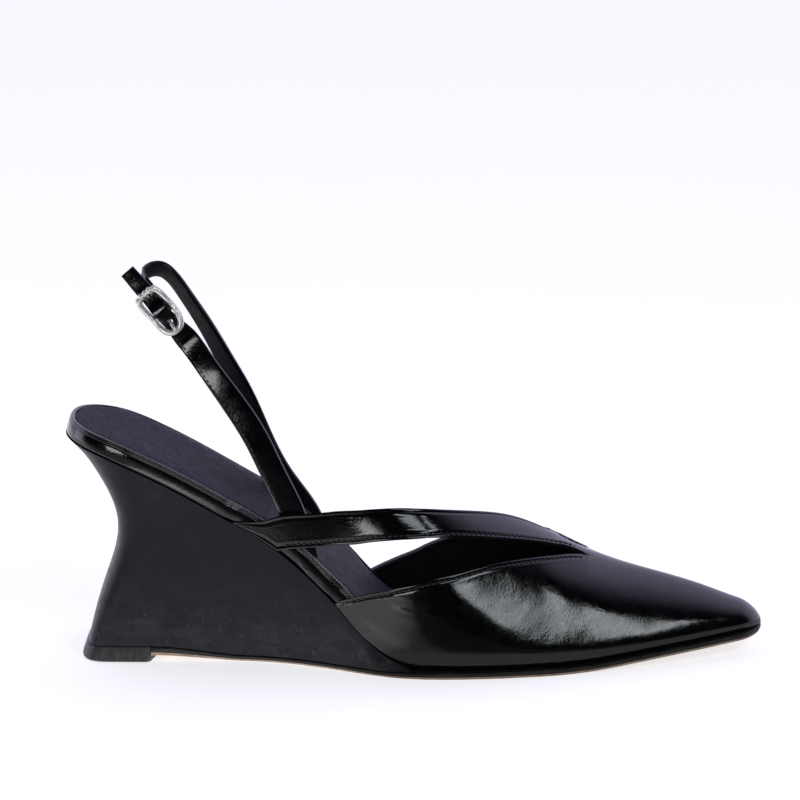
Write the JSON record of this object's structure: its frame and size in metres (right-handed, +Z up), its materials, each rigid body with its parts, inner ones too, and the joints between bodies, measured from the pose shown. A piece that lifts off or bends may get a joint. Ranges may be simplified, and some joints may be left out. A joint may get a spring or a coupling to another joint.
{
  "type": "wedge pump",
  "caption": "Pointed slingback pump on a covered wedge heel, open over the instep beside a side band, with a buckled heel strap; right shoe.",
  "frame": {"origin": "centre of the shoe's footprint box on the floor plane, at mid-length between heel and toe", "axes": "+X from the heel to the toe, +Y to the medial (inner) side, +Z up"},
  "size_m": [0.2447, 0.078, 0.1387],
  "materials": {
    "polished_leather": "high gloss",
    "satin_leather": "satin",
    "sock_leather": "matte",
    "sole_leather": "satin, with a tan lower edge",
    "lift_plastic": "matte",
    "silver": "polished"
  },
  "bodies": {
    "root": {"heel_lift": "lift_plastic", "outsole": "sole_leather", "wedge": "satin_leather", "footbed": "polished_leather", "sock": "sock_leather", "upper": "polished_leather", "billet_strap": "polished_leather", "sling_strap": "sock_leather", "buckle_frame": "silver", "buckle_prong": "silver"}
  },
  "joints": []
}
